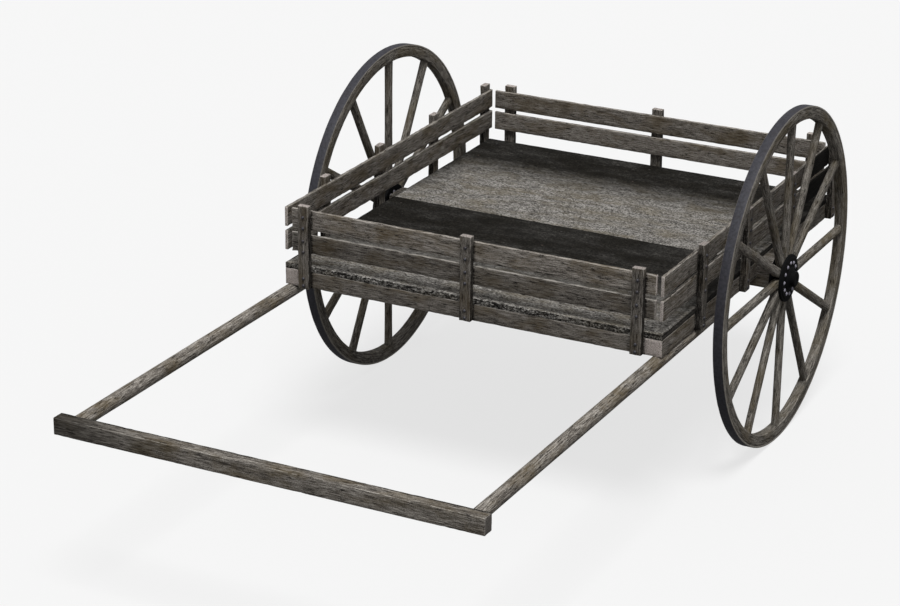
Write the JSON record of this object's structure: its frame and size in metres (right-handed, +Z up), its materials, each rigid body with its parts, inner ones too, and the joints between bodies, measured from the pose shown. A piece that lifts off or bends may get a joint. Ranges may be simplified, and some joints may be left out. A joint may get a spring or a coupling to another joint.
{
  "type": "hand cart",
  "caption": "Two-wheeled wooden hand cart with a slatted tray, spoked iron-tyred wheels on a fixed axle, and two shafts joined by a crossbar.",
  "frame": {"origin": "on the ground, on the middle plane, halfway along the whole length from crossbar to rear posts", "axes": "+X to the cart's right, +Y rearwards away from the crossbar, +Z up; the tray is level"},
  "size_m": [1.682, 2.961, 1.221],
  "materials": {
    "deck_wood": "rough weathered boards",
    "frame_wood": "weathered grey-brown, dry and cracked",
    "handle_wood": "weathered grey-brown, worn by hands",
    "wheel_wood": "weathered grey ash",
    "iron_tyre": "worn grey iron band",
    "black_hub_iron": "black cast iron",
    "axle_iron": "dark forged iron",
    "bright_bolt": "worn bright heads",
    "screw_steel": "dull grey steel"
  },
  "bodies": {
    "cart": {"axle": "axle_iron", "axle_beam": "frame_wood", "axle_clips": "axle_iron", "axle_nuts": "axle_iron", "centre_sill": "frame_wood", "crossbar": "handle_wood", "deck_board_1": "deck_wood", "deck_board_2": "deck_wood", "deck_board_3": "deck_wood", "deck_board_4": "deck_wood", "deck_board_5": "deck_wood", "deck_board_6": "deck_wood", "deck_nails": "screw_steel", "frame_bolts": "screw_steel", "front_centre_post": "frame_wood", "front_left_post": "frame_wood", "front_lower_slat": "frame_wood", "front_right_post": "frame_wood", "front_sill": "frame_wood", "front_upper_slat": "frame_wood", "left_1_post": "frame_wood", "left_2_post": "frame_wood", "left_3_post": "frame_wood", "left_4_post": "frame_wood", "left_lower_slat": "frame_wood", "left_shaft": "handle_wood", "left_side_sill": "frame_wood", "left_upper_slat": "frame_wood", "post_screws": "screw_steel", "rear_centre_post": "frame_wood", "rear_left_post": "frame_wood", "rear_lower_slat": "frame_wood", "rear_right_post": "frame_wood", "rear_sill": "frame_wood", "rear_upper_slat": "frame_wood", "right_1_post": "frame_wood", "right_2_post": "frame_wood", "right_3_post": "frame_wood", "right_4_post": "frame_wood", "right_lower_slat": "frame_wood", "right_shaft": "handle_wood", "right_side_sill": "frame_wood", "right_upper_slat": "frame_wood"},
    "left_wheel": {"left_felloes": "wheel_wood", "left_hub_bolts": "bright_bolt", "left_hub_cap": "black_hub_iron", "left_inner_flange": "black_hub_iron", "left_nave": "black_hub_iron", "left_outer_flange": "black_hub_iron", "left_spokes": "wheel_wood", "left_tyre": "iron_tyre"},
    "right_wheel": {"right_felloes": "wheel_wood", "right_hub_bolts": "bright_bolt", "right_hub_cap": "black_hub_iron", "right_inner_flange": "black_hub_iron", "right_nave": "black_hub_iron", "right_outer_flange": "black_hub_iron", "right_spokes": "wheel_wood", "right_tyre": "iron_tyre"}
  },
  "joints": [
    {"name": "left_wheel_spin", "type": "hinge", "parent": "cart", "child": "left_wheel", "pos_m": [-0.791, 0.7665, 0.6105], "axis": [1, 0, 0], "continuous": true},
    {"name": "right_wheel_spin", "type": "hinge", "parent": "cart", "child": "right_wheel", "pos_m": [0.791, 0.7665, 0.6105], "axis": [1, 0, 0], "continuous": true}
  ]
}
